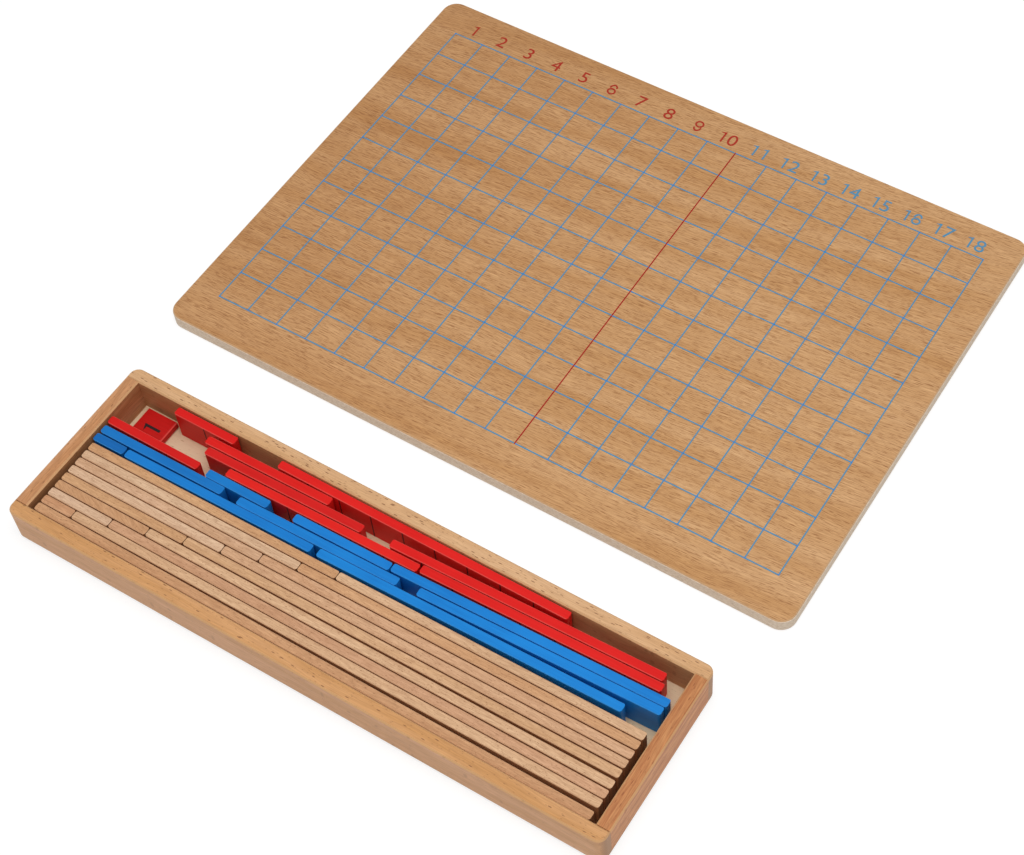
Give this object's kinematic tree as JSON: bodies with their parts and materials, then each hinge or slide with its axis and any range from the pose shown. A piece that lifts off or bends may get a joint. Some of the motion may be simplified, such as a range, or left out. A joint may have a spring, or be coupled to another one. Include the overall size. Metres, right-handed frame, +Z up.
{
  "type": "addition and subtraction board",
  "caption": "Veneered counting board ruled in squares under a row of numbers, with an open wooden tray of plain, blue and red strips standing on edge.",
  "frame": {"origin": "middle of the set's footprint, on the table", "axes": "+X along the row of numbers, +Y from the tray towards the numbers, +Z up"},
  "size_m": [0.398, 0.4416, 0.025],
  "materials": {
    "beech_veneer": "satin lacquered beech veneer",
    "fibre_board": "sanded fibre board edge",
    "blue_ink": "printed blue ink",
    "red_ink": "printed red ink",
    "black_ink": "printed black ink",
    "tray_beech": "satin lacquered solid beech",
    "bottom_sheet": "thin pale plywood",
    "pale_beech": "sanded beech",
    "tan_beech": "sanded beech",
    "pink_beech": "sanded beech",
    "brown_beech": "sanded beech",
    "blue_lacquer": "blue lacquer over beech",
    "red_lacquer": "red lacquer over beech"
  },
  "bodies": {
    "root": {"blue_strip_1": "blue_lacquer", "blue_strip_2": "blue_lacquer", "blue_strip_3": "blue_lacquer", "blue_strip_4": "blue_lacquer", "blue_strip_5": "blue_lacquer", "blue_strip_6": "blue_lacquer", "blue_strip_7": "blue_lacquer", "blue_strip_8": "blue_lacquer", "blue_strip_9": "blue_lacquer", "board_bottom_veneer": "beech_veneer", "board_core": "fibre_board", "board_top_veneer": "beech_veneer", "grid_lines": "blue_ink", "plain_strip_01": "brown_beech", "plain_strip_02": "pale_beech", "plain_strip_03": "brown_beech", "plain_strip_04": "tan_beech", "plain_strip_05": "pale_beech", "plain_strip_06": "pink_beech", "plain_strip_07": "pale_beech", "plain_strip_08": "tan_beech", "plain_strip_09": "pale_beech", "plain_strip_10": "tan_beech", "plain_strip_11": "pink_beech", "plain_strip_12": "pink_beech", "plain_strip_13": "tan_beech", "plain_strip_14": "pale_beech", "plain_strip_15": "pink_beech", "plain_strip_16": "pale_beech", "plain_strip_17": "tan_beech", "red_strip_1": "red_lacquer", "red_strip_2": "red_lacquer", "red_strip_3": "red_lacquer", "red_strip_4": "red_lacquer", "red_strip_5": "red_lacquer", "red_strip_6": "red_lacquer", "red_strip_7": "red_lacquer", "red_strip_8": "red_lacquer", "red_strip_9": "red_lacquer", "red_strip_marks": "black_ink", "ten_line": "red_ink", "tray_floor": "bottom_sheet", "tray_front_wall": "tray_beech", "tray_left_end": "tray_beech", "tray_rear_wall": "tray_beech", "tray_right_end": "tray_beech"}
  },
  "joints": []
}
